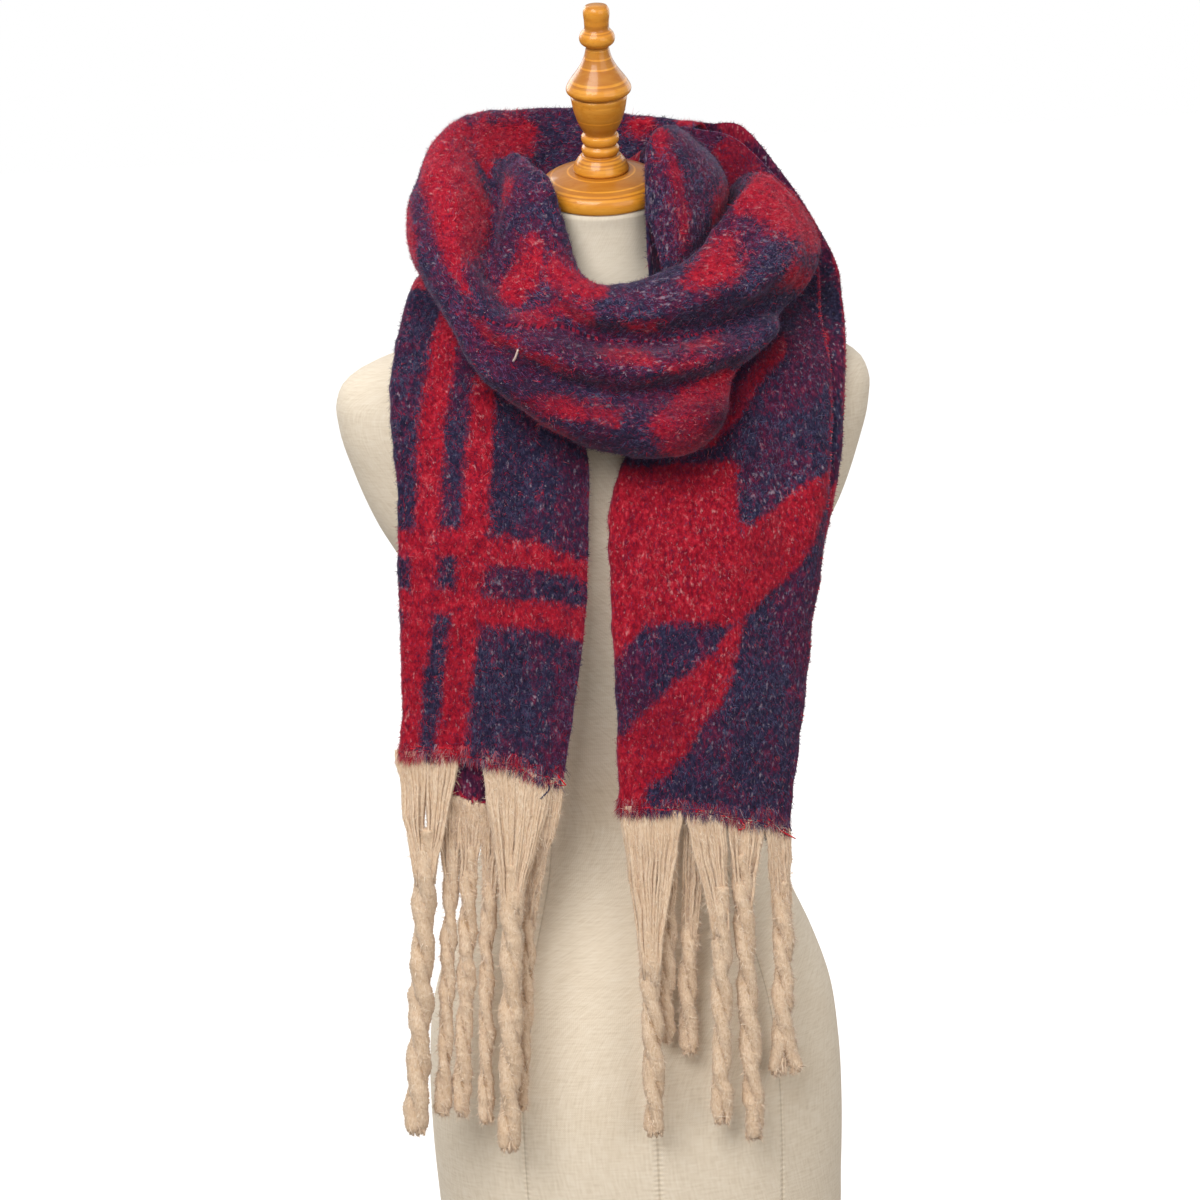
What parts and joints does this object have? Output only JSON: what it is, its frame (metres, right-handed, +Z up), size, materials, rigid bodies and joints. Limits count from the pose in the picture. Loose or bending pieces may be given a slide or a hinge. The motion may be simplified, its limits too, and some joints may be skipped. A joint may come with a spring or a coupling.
{
  "type": "blanket scarf on a limbless dress form",
  "caption": "Wide brushed scarf with corded fringe, wound round the neck of a limbless linen-covered dress form with a turned-wood neck cap; its ends hang in front.",
  "frame": {"origin": "centre of the dress form's flat base, where it rests", "axes": "+Z up through the neck, -Y the front where the scarf's ends hang, +X the form's left side"},
  "size_m": [0.4234, 0.306, 1.0134],
  "materials": {
    "form_linen": "plain linen stretched over a stiff form",
    "form_wood": "turned and varnished",
    "scarf_cloth": "thick brushed cloth, crimson and navy checks",
    "scarf_fringe": "soft twisted beige yarn"
  },
  "bodies": {
    "root": {"form_torso": "form_linen", "form_neck_disc": "form_wood", "form_finial": "form_wood", "scarf_cowl": "scarf_cloth", "scarf_left_roll": "scarf_cloth", "scarf_back_band": "scarf_cloth", "scarf_inner_band": "scarf_cloth", "scarf_left_tail_front": "scarf_cloth", "scarf_left_tail_back": "scarf_cloth", "scarf_right_front": "scarf_cloth", "scarf_right_back": "scarf_cloth", "scarf_tassel_01": "scarf_fringe", "scarf_tassel_02": "scarf_fringe", "scarf_tassel_03": "scarf_fringe", "scarf_tassel_04": "scarf_fringe", "scarf_tassel_05": "scarf_fringe", "scarf_tassel_06": "scarf_fringe", "scarf_tassel_07": "scarf_fringe", "scarf_tassel_08": "scarf_fringe", "scarf_tassel_09": "scarf_fringe", "scarf_tassel_10": "scarf_fringe", "scarf_tassel_11": "scarf_fringe", "scarf_tassel_12": "scarf_fringe"}
  },
  "joints": []
}
